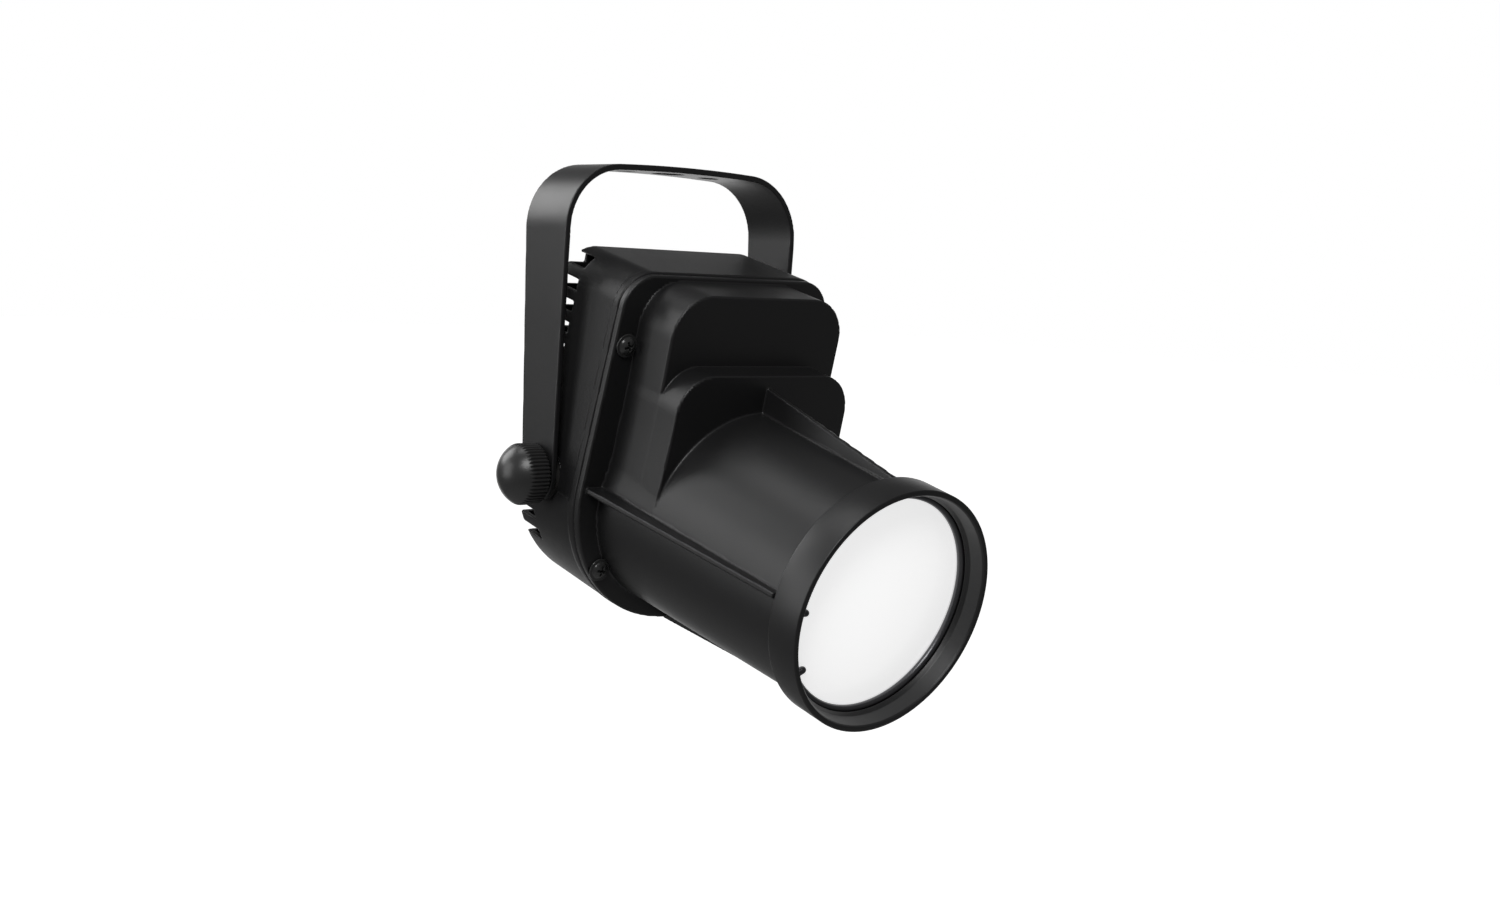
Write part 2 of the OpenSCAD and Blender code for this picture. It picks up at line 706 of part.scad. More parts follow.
// Wire finger guard over the fan's opening
module fan_guard() color("silver") in_head() {
    for (r = [5, 10, 15]) turned() translate([r, -back - guard_wire_r]) circle(guard_wire_r, $fn = 24);
    for (a = [45 : 90 : 315]) translate([0, 0, axis_v]) rotate([0, a, 0])
        brick(4.6, 20, -back - guard_t, -back, -guard_wire_r, guard_wire_r);
    at_fan_holes() difference() {
        post(-back - guard_t, -back, 3.2, 0, 0);
        post(-back - 2, 1 - back, fan_hole_r + 0.05, 0, 0);
    }
}

module fan_screws() color("dimgray") in_head() at_fan_holes() mirror([0, 1, 0])
    pan_screw(back + guard_t, 0, 0, small_head_r, 1.6, 1.5, 13);

module power_inlet() color([0.12, 0.12, 0.12]) in_head() difference() {
    union() {
        slab(-back - 2, -back) translate([0, inlet_v]) round_rect(31, 32, 2);
        slab(-back - eps, -3) translate([0, inlet_v]) round_rect(27, 30, 2);
    }
    slab(-back - 3, -5) translate([0, socket_v]) round_rect(24.2, 16.6, 3);
    slab(-back - 3, -4.5) translate([0, drawer_v]) square([22.6, 6.6], center = true);
    for (p = inlet_pin_at) brick(p[0] - 1, p[0] + 1, -6, 0, socket_v + p[1] - 2, socket_v + p[1] + 2);
}

module inlet_pins() color("silver") in_head() for (p = inlet_pin_at)
    brick(p[0] - 1, p[0] + 1, -15, -0.5, socket_v + p[1] - 2, socket_v + p[1] + 2);

module fuse_drawer() color([0.14, 0.14, 0.14]) in_head() difference() {
    union() {
        slab(-back - 2.4, -6) translate([0, drawer_v]) square([22, 6], center = true);
        slab(-back - 3.4, -back - 2.3) translate([0, drawer_v + 2]) square([8, 1.4], center = true);
    }
    brick(-10, 10, -16, -7, drawer_v - 2.2, drawer_v + 4);
}

module fuse_link() color("silver") in_head() translate([-10, 11.5, drawer_v + 0.4]) rotate([0, 90, 0]) {
    cylinder(r = 2.2, h = 20);
    for (x = [0, 15]) translate([0, 0, x]) cylinder(r = 2.55, h = 5);
}

module switch_frame() color([0.12, 0.12, 0.12]) in_head() difference() {
    union() {
        slab(-back - 1.6, -back) translate([switch_x, switch_v]) round_rect(15.4, 21.4, 1.5);
        slab(-back - eps, -3) translate([switch_x, switch_v]) round_rect(13, 19, 1);
    }
    slab(-back - 3, -11) translate([switch_x, switch_v]) square([10.6, 17], center = true);
    translate([switch_x - 7, back - 2, switch_v]) rotate([0, 90, 0]) cylinder(r = 1.25, h = 14);
}

// The rocker tips about an axis along x; drawn pressed at its lower end
module switch_rocker() color([0.45, 0.04, 0.04]) in_head()
    translate([switch_x, back - 2, switch_v]) rotate([-10, 0, 0]) rotate([90, 0, 90]) {
        translate([0, 0, -5]) linear_extrude(10)
            polygon([[-1.5, -7.4], [4.4, -7.4], [3.4, -4], [3, 0], [3.4, 4], [4.4, 7.4], [-1.5, 7.4]]);
        translate([0, 0, -6.3]) cylinder(r = 1.2, h = 12.6);
    }

yoke_bracket();
rear_housing();
front_housing();
flange_screws();
pivot_inserts();
friction_discs();
left_washer();
right_washer();
left_knob();
right_knob();
left_stud();
right_stud();
focus_tube();
focus_ring();
focus_guide_screw();
lens_gasket();
front_lens();
lens_circlip();
heat_sink();
heat_sink_screws();
led_board();
led_emitter();
reflector();
condenser_holder();
condenser_lens();
gate_plate();
gate_screws();
gobo_motor();
motor_screws();
gobo_shaft();
gobo_wheel();
gobos();
gobo_clips();
driver_board();
driver_parts();
driver_screws();
control_board();
tact_switches();
display_module();
control_screws();
control_panel();
display_window();
menu_button_1();
menu_button_2();
menu_button_3();
menu_button_4();
fan_frame();
fan_rotor();
fan_guard();
fan_screws();
power_inlet();
inlet_pins();
switch_frame();
switch_rocker();
fuse_drawer();
fuse_link();
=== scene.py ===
"""Looks of the compact profile spotlight: rounded mouldings, wire clip, lens, knobs and screws."""

import json
import math

import bmesh
import bpy
import numpy as np
from mathutils import Matrix, Vector


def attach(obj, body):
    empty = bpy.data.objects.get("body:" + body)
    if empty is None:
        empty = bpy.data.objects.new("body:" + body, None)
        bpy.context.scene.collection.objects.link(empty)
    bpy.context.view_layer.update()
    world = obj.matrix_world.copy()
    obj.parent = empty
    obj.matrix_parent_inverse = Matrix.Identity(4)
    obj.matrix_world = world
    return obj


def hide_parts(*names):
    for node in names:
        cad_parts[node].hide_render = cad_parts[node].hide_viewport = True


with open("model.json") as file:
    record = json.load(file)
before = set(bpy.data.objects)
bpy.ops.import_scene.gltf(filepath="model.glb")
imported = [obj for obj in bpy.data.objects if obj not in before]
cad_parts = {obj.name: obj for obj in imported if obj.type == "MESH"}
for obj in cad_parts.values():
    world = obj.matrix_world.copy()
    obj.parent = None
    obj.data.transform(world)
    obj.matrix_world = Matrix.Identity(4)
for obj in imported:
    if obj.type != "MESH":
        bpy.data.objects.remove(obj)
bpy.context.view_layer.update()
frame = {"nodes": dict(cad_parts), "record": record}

MM = 0.001

# ---------------------------------------------------------------- sizes, in millimetres
# Head frame: x to the right, u forwards along the beam, v upwards; origin on the tilt pivots.
TILT = math.radians(13.0)
PIVOT_Z = -132.0
AXIS_V = -2.0

# Yoke: half width, thickness, corner and arch radii, and its width at the top and the feet
YOKE_HALF = 62.8
YOKE_T = 2.5
YOKE_CORNER = 28.0
YOKE_ARCH = 750.0
YOKE_TOP_W = 30.0
YOKE_FOOT_W = 23.0

# Housing: its section, its two halves along u and its vent slots
BOTTOM_R = 59.5
TOP_HALF = 55.3
TOP_V = 94.4
TOP_CORNER_R = 15.0
BACK_U = -19.0
JOINT_U = 25.2
FLANGE_U = 28.7
INSET = 1.2
BODY_RAISE = 0.6
WALL = 2.5
LIP_U = 21.0
SKIRT_V = -4.0
VENT_COUNT = 14
VENT_TOP_V = 90.0
VENT_PITCH = 9.3
VENT_H = 4.4
VENT_U = -6.7
VENT_X = 44.0

# Openings in the back wall; boxes are centre x, centre v, half width, half height, corner radius
OPENING_U = -10.0
FAN_R = 18.5
INLET = (0.0, -38.5, 13.7, 15.2, 2.0)
SWITCH = (31.0, 37.0, 6.7, 9.7, 1.0)
WINDOW = (0.0, 77.0, 15.5, 6.3, 0.3)
BUTTON_V = 58.0
BUTTON_PITCH = 16.0
BUTTON_R = 4.3

# Round pads on the rear housing's sides that the pivots pass through, each faced flat
PAD_R = 11.5
PAD_X = 56.4
PAD_HALF = 2.0
PAD_BORE_R = 4.52
PAD_FACE_R = 12.0
PAD_FACE_X = 58.4

# Steps of the front moulding: half width, top, corner radius and front face
UPPER = (45.6, 92.4, 18.5, 51.0)
LOWER = (45.9, 62.8, 17.0, 63.2)
FLARE = 0.065

# Barrel and its ribs, each rib with its distance from the axis at the back and at the front
BARREL_R0 = 49.8
BARREL_R1 = 46.3
BARREL_U = 142.7
BARREL_WALL = 3.2
THROAT_U = 96.0
TUBE_BORE_R = 43.5
RIB_T = 2.4
SIDE_RIB_V = 2.5
SIDE_RIB = (57.5, 49.3)
KEEL = (58.8, 50.0)
GUSSET = (59.6, 49.6)

# Flange screws: places, turns of their cross recesses, head size, and the seat cut round each
SCREWS = ((50.2, 65.0), (43.2, -33.6))
SCREW_TURNS = (0.35, 1.1, -0.2, 0.8)
SCREW_R = 4.5
SCREW_H = 3.0
SEAT = 3.6
SEAT_GAP = 0.4

# Front collar and its lens
COLLAR_U = 143.0
COLLAR_R = 50.0
RIM_U = 158.4
LENS_U = 144.8
LENS_EDGE = 2.0
LENS_R = 44.6
LENS_SAG = 4.6

# Wire clip; each end has its angle in degrees, the way its bend turns and its tip's radius
CLIP_R = 44.6
CLIP_WIRE = 1.5
CLIP_U = 148.35
CLIP_BEND = 2.0
CLIP_RISE = 0.2
CLIP_ENDS = ((216.0, 1, 41.0), (540.0, -1, 38.6))

# Knobs: x where the grip starts, then the grip, its domed cap and its flutes
KNOB_X = 63.65
KNOB_R = 13.0
KNOB_BORE_R = 3.2
KNOB_GRIP = 8.4
KNOB_DOME = 8.0
KNOB_FLUTES = 48
FLUTE_DEPTH = 0.8

# Holes in the yoke
HANG_R = 7.0
SIDE_HOLE_X = 23.0
SIDE_HOLE_R = 4.25
PIVOT_HOLE_R = 3.3

# Grid of the surfaces: corners of a cell, and cells in a coarse block
CELL_CORNERS = [(i, j, k) for i in (0, 1) for j in (0, 1) for k in (0, 1)]
BLOCK = 4


# ---------------------------------------------------------------- frames and meshes
def head_to_row(x, u, v):
    """Head frame in millimetres to row frame in metres."""
    c, s = math.cos(TILT), math.sin(TILT)
    return np.stack([x, -u * c - v * s, PIVOT_Z - u * s + v * c], axis=-1) * MM


def row_to_row(x, y, z):
    return np.stack([x, y, z], axis=-1) * MM


def mesh_object(name, points, faces, normals=None, smooth=True):
    """A mesh object from row-frame points in metres and a quad array or a face list."""
    mesh = bpy.data.meshes.new(name)
    if isinstance(faces, np.ndarray):
        count, sides = faces.shape
        mesh.vertices.add(len(points))
        mesh.vertices.foreach_set("co", np.asarray(points, np.float32).ravel())
        mesh.loops.add(count * sides)
        mesh.loops.foreach_set("vertex_index", faces.astype(np.int32).ravel())
        mesh.polygons.add(count)
        mesh.polygons.foreach_set("loop_start", np.arange(0, count * sides, sides, dtype=np.int32))
        mesh.update(calc_edges=True)
    else:
        mesh.from_pydata([tuple(p) for p in points], [], faces)
    mesh.validate()
    if smooth:
        mesh.polygons.foreach_set("use_smooth", np.ones(len(mesh.polygons), bool))
    if normals is not None:
        mesh.normals_split_custom_set_from_vertices(normals.tolist())
    obj = bpy.data.objects.new(name, mesh)
    bpy.context.scene.collection.objects.link(obj)
    return obj


def finish_piece(obj, body, slot_name, *nodes):
    obj.data.materials.clear()
    obj.data.materials.append(MATERIALS[slot_name])
    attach(obj, body)
    if nodes:
        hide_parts(*nodes)
    return obj


# ---------------------------------------------------------------- distance fields
def round_and(a, b, r):
    """Intersection with its edge rounded to radius r."""
    a, b = a + r, b + r
    return np.minimum(np.maximum(a, b), 0) + np.hypot(np.maximum(a, 0), np.maximum(b, 0)) - r


def fillet_or(a, b, r):
    """Union with a fillet of radius r in the corner."""
    return np.maximum(r, np.minimum(a, b)) - np.hypot(np.maximum(r - a, 0), np.maximum(r - b, 0))


def cut(a, b, r=0.0):
    """a without b, with the new edge rounded to radius r."""
    return np.maximum(a, -b) if r == 0 else round_and(a, -b, r)


def extruded(flat, u, u0, u1, r):
    return round_and(flat, np.abs(u - (u0 + u1) / 2) - (u1 - u0) / 2, r)


def box_2d(x, y, hx, hy, r):
    qx, qy = np.abs(x) - hx + r, np.abs(y) - hy + r
    return np.minimum(np.maximum(qx, qy), 0) + np.hypot(np.maximum(qx, 0), np.maximum(qy, 0)) - r


def housing_outline(x, v, inset=0.0, raise_top=0.0):
    """Round bottom, tapering sides and rounded top corners; negative inside."""
    past = max(inset - INSET, 0.0)
    bottom_r = BOTTOM_R - inset
    corner_r = TOP_CORNER_R - past
    cx = TOP_HALF - inset - corner_r
    cv = TOP_V + raise_top - past - corner_r
    a = math.atan2(cv, cx) - math.acos((bottom_r - corner_r) / math.hypot(cx, cv))
    nx, nv = math.cos(a), math.sin(a)
    px = np.abs(x)
    side = px * nx + v * nv - bottom_r
    top = v - cv - corner_r
    across = (px - cx) / nx
    along = (v - cv) - across * nv
    corner = np.hypot(px - cx, v - cv) - corner_r
    upper = np.where((across > 0) & (along > 0), corner, np.maximum(side, top))
    return np.where(-px * nv + v * nx < 0, np.hypot(px, v) - bottom_r, upper)


def step_outline(x, v, half, top, r):
    """Rounded top and straight sides that flare a little towards the barrel."""
    flare = FLARE * (np.hypot(35.0 - v, 10.0) + 35.0 - v) / 2
    qx, qv = np.abs(x) - half - flare + r, v - top + r
    arch = np.minimum(np.maximum(qx, qv), 0) + np.hypot(np.maximum(qx, 0), np.maximum(qv, 0)) - r
    return np.maximum(arch, -v)


def barrel(x, u, v, inset=0.0):
    slope = (BARREL_R0 - BARREL_R1) / (BARREL_U - JOINT_U)
    return np.hypot(x, v - AXIS_V) - (BARREL_R0 - inset - slope * (u - JOINT_U))


def rib(off, out, u, u0, r0, r1):
    """Tapering rib: off across its thickness, out the distance from the barrel's axis."""
    u1 = BARREL_U - 0.8
    slope = (r0 - r1) / (u1 - u0)
    edge = (out - (r0 - slope * (u - u0))) / math.hypot(1, slope)
    flat = np.maximum(round_and(np.abs(off) - RIB_T / 2, edge, 0.5), 30 - out)
    return round_and(round_and(flat, u - u1, 0.3), u0 - u, 0.1)


def front_shape(x, u, v):
    outline = housing_outline(x, v)
    flange = extruded(outline, u, JOINT_U, FLANGE_U, 0.7)
    steps = None
    for half, top, r, face in (UPPER, LOWER):
        step = extruded(step_outline(x, v, half, top, r), u, 0.0, face, 0.55)
        steps = step if steps is None else fillet_or(steps, step, 0.5)
    tube = round_and(barrel(x, u, v), np.abs(u - BARREL_U / 2) - BARREL_U / 2, 0.4)
    d = fillet_or(steps, tube, 0.8)
    side = rib(v - SIDE_RIB_V, np.abs(x), u, JOINT_U + 0.5, *SIDE_RIB)
    keel = rib(x, AXIS_V - v, u, JOINT_U + 0.5, *KEEL)
    gusset = rib(x, v - AXIS_V, u, LOWER[3] - 1, *GUSSET)
    d = fillet_or(d, np.minimum(np.minimum(side, keel), gusset), 0.7)
    d = np.maximum(fillet_or(d, flange, 0.35), JOINT_U - u)
    for sx, sv in SCREWS:
        seat = np.maximum(np.hypot(np.abs(x) - sx, v - sv) - SCREW_R - SEAT_GAP,
                          np.abs(u - FLANGE_U - SEAT / 2) - SEAT / 2)
        d = cut(d, seat, 0.3)
    straight = np.hypot(x, v - AXIS_V) - TUBE_BORE_R
    room = np.where(u < THROAT_U, barrel(x, u, v, BARREL_WALL), straight)
    for half, top, r, face in (UPPER, LOWER):
        hollow = step_outline(x, v, half - WALL, top - WALL, r - WALL)
        room = np.minimum(room, extruded(hollow, u, 0, face - WALL, 0.5))
    return cut(d, room, 0.3)


def wall_openings(x, v):
    """Outlines of the fan, button, inlet, switch and window openings; negative inside."""
    fan = np.hypot(x, v - AXIS_V) - FAN_R
    across = np.abs(np.abs(x) - BUTTON_PITCH) - BUTTON_PITCH / 2
    openings = np.minimum(fan, np.hypot(across, v - BUTTON_V) - BUTTON_R)
    for cx, cv, hx, hy, r in (INLET, SWITCH, WINDOW):
        openings = np.minimum(openings, box_2d(x - cx, v - cv, hx, hy, r))
    return openings


def rear_shape(x, u, v):
    body = extruded(housing_outline(x, v, INSET, BODY_RAISE), u, BACK_U, JOINT_U, 1.2)
    full = housing_outline(x, v)
    skirt = round_and(extruded(full, u, BACK_U, JOINT_U, 1.2), v - SKIRT_V, 0.6)
    lip = extruded(full, u, LIP_U, JOINT_U, 0.6)
    d = fillet_or(fillet_or(skirt, lip, 0.6), body, 0.4)
    room = extruded(housing_outline(x, v, WALL, BODY_RAISE), u, BACK_U + WALL, JOINT_U + 20, 0.5)
    d = cut(d, room, 0.3)
    nearest = np.clip(np.round((VENT_TOP_V - v) / VENT_PITCH), 0, VENT_COUNT - 1)
    across = np.abs(v - VENT_TOP_V + nearest * VENT_PITCH) - VENT_H / 2
    vent = np.maximum(round_and(VENT_X - np.abs(x), u - VENT_U, 1.2), across)
    d = cut(d, vent, 0.5)
    d = cut(d, np.maximum(wall_openings(x, v), u - OPENING_U), 0.2)
    from_pivot = np.hypot(u, v)
    pads = np.maximum(from_pivot - PAD_R, np.abs(np.abs(x) - PAD_X) - PAD_HALF)
    d = cut(np.minimum(d, pads), from_pivot - PAD_BORE_R)
    return cut(d, np.maximum(from_pivot - PAD_FACE_R, PAD_FACE_X - np.abs(x)), 0.3)


def yoke_shape(x, y, z):
    px = np.abs(x)
    cx = YOKE_HALF - YOKE_CORNER
    reach = YOKE_ARCH - YOKE_CORNER
    cz = -YOKE_ARCH + math.sqrt(reach * reach - cx * cx)
    corner = np.hypot(px - cx, z - cz) - YOKE_CORNER
    arch = np.hypot(px, z + YOKE_ARCH) - YOKE_ARCH
    past = (px - cx) * (cz + YOKE_ARCH) - (z - cz) * cx
    outer = np.where(z < cz, px - YOKE_HALF, np.where(past > 0, corner, arch))
    outer = np.where((z < cz) & (px < cx), np.maximum(px - YOKE_HALF, z), outer)
    plate = np.abs(outer + YOKE_T / 2) - YOKE_T / 2
    share = np.clip((z - PIVOT_Z) / (-YOKE_CORNER - PIVOT_Z), 0, 1)
    width = np.abs(y) - (YOKE_FOOT_W + (YOKE_TOP_W - YOKE_FOOT_W) * share) / 2
    foot = np.hypot(y, z - PIVOT_Z) - YOKE_FOOT_W / 2
    d = round_and(plate, np.where(z < PIVOT_Z, foot, width), 0.45)
    hang = np.hypot(x, y) - HANG_R
    small = np.hypot(px - SIDE_HOLE_X, y) - SIDE_HOLE_R
    pivot = np.maximum(np.hypot(y, z - PIVOT_Z) - PIVOT_HOLE_R, 40 - px)
    holes = np.maximum(np.minimum(hang, small), -z - 20)
    return cut(cut(d, holes, 0.3), pivot)


def screw_shape(x, u, v):
    """Pan head with a cross recess; u = 0 under the head."""
    r = np.hypot(x, v)
    dome = SCREW_R - 0.3
    ball_r = (dome**2 + SCREW_H**2) / (2 * SCREW_H)
    ball = np.hypot(r, u - SCREW_H + ball_r) - ball_r
    head = fillet_or(np.maximum(ball, -u), extruded(r - SCREW_R - 0.5, u, 0, 0.9, 0.25), 0.2)
    below = np.maximum(SCREW_H - u, 0)
    wide, reach = 0.62 - 0.14 * below, 2.5 - 0.5 * below
    blade = np.minimum(np.maximum(np.abs(x) - wide, np.abs(v) - reach),
                       np.maximum(np.abs(v) - wide, np.abs(x) - reach))
    return cut(head, np.maximum(blade, 1.0 - u), 0.15)


# ---------------------------------------------------------------- meshes of distance fields
def neighbours(axis, rest=slice(None)):
    """Index pair that picks grid points and the next ones along an axis."""
    first, second = [rest] * 3, [rest] * 3
    first[axis], second[axis] = slice(None, -1), slice(1, None)
    return tuple(first), tuple(second)


def field_samples(shape, low, high, step):
    """Field values on a grid: exact near the surface, one value per block elsewhere."""
    blocks = np.ceil((high - low) / (step * BLOCK)).astype(int)
    centres = [low[i] + (np.arange(blocks[i]) + 0.5) * step * BLOCK for i in range(3)]
    coarse = shape(*np.meshgrid(*centres, indexing="ij"))
    near = np.abs(coarse) < step * BLOCK * 1.1
    for axis in range(3):
        near = near.repeat(BLOCK, axis=axis)
        coarse = coarse.repeat(BLOCK, axis=axis)
    count = blocks * BLOCK + 1
    wanted = np.zeros(count, bool)
    wanted[:-1, :-1, :-1] = near
    values = np.ones(count, np.float32)
    values[:-1, :-1, :-1] = coarse
    for axis in range(3):
        first, second = neighbours(axis)
        wanted[second] |= wanted[first].copy()
    where = np.nonzero(wanted)
    values[where] = shape(*[low[i] + where[i] * step for i in range(3)])
    return values


def crossed_cells(inside, size):
    """Flat indices of the cells that the surface passes through."""
    total = np.zeros(size, np.int8)
    for corner in CELL_CORNERS:
        total += inside[tuple(slice(corner[i], corner[i] + size[i]) for i in range(3))]
    return np.flatnonzero(((total > 0) & (total < 8)).ravel())


def crossing_means(values, cell):
    """Mean of the surface's crossings with each cell's edges, from the cell's low corner."""
    at = [values[tuple((cell + corner).T)] for corner in CELL_CORNERS]
    weight = np.zeros(len(cell))
    centre = np.zeros((len(cell), 3))
    for m, p in enumerate(CELL_CORNERS):
        for axis in range(3):
            if p[axis]:
                continue
            q = list(p)
            q[axis] = 1
            n = CELL_CORNERS.index(tuple(q))
            crossing = (at[m] < 0) != (at[n] < 0)
            t = at[m] / np.where(crossing, at[m] - at[n], 1)
            spot = np.tile(np.array(p, float), (len(cell), 1))
            spot[:, axis] += t
            centre += spot * crossing[:, None]
            weight += crossing
    return centre / weight[:, None]


def gradient(shape, points, h=0.02):
    slopes = np.empty_like(points)
    for axis in range(3):
        e = np.zeros(3)
        e[axis] = h
        slopes[:, axis] = shape(*(points + e).T) - shape(*(points - e).T)
    return slopes / (2 * h)


def drawn_onto(shape, points, step):
    """Points moved onto the surface in three short steps along the field's slope."""
    for _ in range(3):
        g = gradient(shape, points)
        length = np.maximum((g * g).sum(1), 0.25)
        move = -(shape(*points.T) / length)[:, None] * g
        far = np.linalg.norm(move, axis=1, keepdims=True)
        points = points + move * np.minimum(1, 0.5 * step / np.maximum(far, 1e-9))
    return points


def surface_quads(inside, size, cells):
    """One quad round each grid edge that the surface crosses, joining the cells' vertices."""
    quads = []
    for axis in range(3):
        p, q = (axis + 1) % 3, (axis + 2) % 3
        first, second = (inside[part] for part in neighbours(axis, slice(1, -1)))
        edge = np.stack(np.nonzero(first != second), axis=1)
        solid_first = first[tuple(edge.T)]
        edge[:, p] += 1
        edge[:, q] += 1
        ring = []
        for dp, dq in ((-1, -1), (0, -1), (0, 0), (-1, 0)):
            c = edge.copy()
            c[:, p] += dp
            c[:, q] += dq
            ring.append(np.searchsorted(cells, np.ravel_multi_index(tuple(c.T), size)))
        ring = np.stack(ring, axis=1)
        ring[~solid_first] = ring[~solid_first][:, ::-1]
        quads.append(ring)
    return np.concatenate(quads)


def surfaced(name, shape, low, high, step, to_row):
    """Quad mesh of a distance field: cells cut by the surface get one vertex, drawn onto it."""
    low, high = np.array(low, float), np.array(high, float)
    values = field_samples(shape, low, high, step)
    inside = values < 0
    size = tuple(n - 1 for n in inside.shape)
    cells = crossed_cells(inside, size)
    cell = np.stack(np.unravel_index(cells, size), axis=1)
    vertices = drawn_onto(shape, low + (cell + crossing_means(values, cell)) * step, step)
    normals = gradient(shape, vertices)
    normals /= np.maximum(np.linalg.norm(normals, axis=1, keepdims=True), 1e-9)
    quads = surface_quads(inside, size, cells)
    row = to_row(*vertices.T)
    tips = to_row(*(vertices + normals).T) - row
    tips /= np.linalg.norm(tips, axis=1, keepdims=True)
    a, b, c = (row[quads[:, i]] for i in range(3))
    facing = (np.cross(b - a, c - a) * tips[quads[:, 0]]).sum(1)
    if np.median(facing) < 0:
        quads = quads[:, ::-1]
    return mesh_object(name, row, quads, tips)


# ---------------------------------------------------------------- turned parts
def rounded_profile(corners, steps=5):
    """Closed profile from (r, u, radius) corners, each rounded by its radius."""
    points = []
    count = len(corners)
    for i, (r, u, radius) in enumerate(corners):
        p = np.array([r, u])
        before = np.array(corners[i - 1][:2]) - p
        after = np.array(corners[(i + 1) % count][:2]) - p
        la, lb = np.linalg.norm(before), np.linalg.norm(after)
        before, after = before / la, after / lb
        half = math.acos(max(-1, min(1, float(before @ after)))) / 2
        if radius <= 0 or half > math.radians(88):
            points.append(p)
            continue
        reach = min(radius / math.tan(half), 0.48 * la, 0.48 * lb)
        radius = reach * math.tan(half)
        middle = p + (before + after) / np.linalg.norm(before + after) * radius / math.sin(half)
        start, end = p + before * reach - middle, p + after * reach - middle
        turn = math.atan2(start[0] * end[1] - start[1] * end[0], float(start @ end))
        for k in range(steps + 1):
            a = turn * k / steps
            c, s = math.cos(a), math.sin(a)
            points.append(middle + np.array([c * start[0] - s * start[1], s * start[0] + c * start[1]]))
    return np.array(points)


def turned(name, profile, segments, closed=True):
    """Solid of revolution about the beam axis from (r, u) points."""
    angles = np.arange(segments) * 2 * math.pi / segments
    r, u = profile[:, 0], profile[:, 1]
    x = np.outer(r, np.cos(angles))
    v = AXIS_V + np.outer(r, np.sin(angles))
    points = head_to_row(x, np.repeat(u[:, None], segments, 1), v).reshape(-1, 3)
    rings = len(profile)
    last = rings if closed else rings - 1
    i, j = np.meshgrid(np.arange(last), np.arange(segments), indexing="ij")
    a = i * segments + j
    b = i * segments + (j + 1) % segments
    c = ((i + 1) % rings) * segments + (j + 1) % segments
    d = ((i + 1) % rings) * segments + j
    faces = np.stack([a, b, c, d], axis=-1).reshape(-1, 4)
    obj = mesh_object(name, points, faces)
    fix_normals(obj)
    return obj


def fix_normals(obj):
    bm = bmesh.new()
    bm.from_mesh(obj.data)
    bmesh.ops.remove_doubles(bm, verts=bm.verts, dist=1e-6)
    bmesh.ops.recalc_face_normals(bm, faces=bm.faces)
    bm.to_mesh(obj.data)
    bm.free()
    obj.data.update()


def tube(name, path, radius, sides=16):
    """Round wire along row-frame points in metres, with domed ends."""
    path = np.asarray(path)
    ahead = np.gradient(path, axis=0)
    ahead /= np.linalg.norm(ahead, axis=1, keepdims=True)
    across = np.cross(ahead[0], [0.3, 0.1, 0.9])
    rows = []
    angles = np.arange(sides) * 2 * math.pi / sides
    for p, t in zip(path, ahead):
        across = across - t * (across @ t)
        across /= np.linalg.norm(across)
        other = np.cross(t, across)
        rows.append(p + radius * (np.outer(np.cos(angles), across) + np.outer(np.sin(angles), other)))
    caps = []
    for end, sign in ((0, -1), (-1, 1)):
        ring = rows[end]
        for share in (0.45, 0.8, 0.97):
            shrink = math.sqrt(1 - share * share)
            new = path[end] + (ring - path[end]) * shrink + sign * ahead[end] * radius * share
            caps.append((end, new))
    start = [c for e, c in caps if e == 0][::-1]
    finish = [c for e, c in caps if e == -1]
    rows = start + rows + finish
    points = np.concatenate(rows)
    n = len(rows)
    faces = []
    for i in range(n - 1):
        for j in range(sides):
            k = (j + 1) % sides
            faces.append((i * sides + j, i * sides + k, (i + 1) * sides + k, (i + 1) * sides + j))
    faces.append(tuple(range(sides))[::-1])
    faces.append(tuple((n - 1) * sides + j for j in range(sides)))
    obj = mesh_object(name, points, faces)
    fix_normals(obj)
    return obj


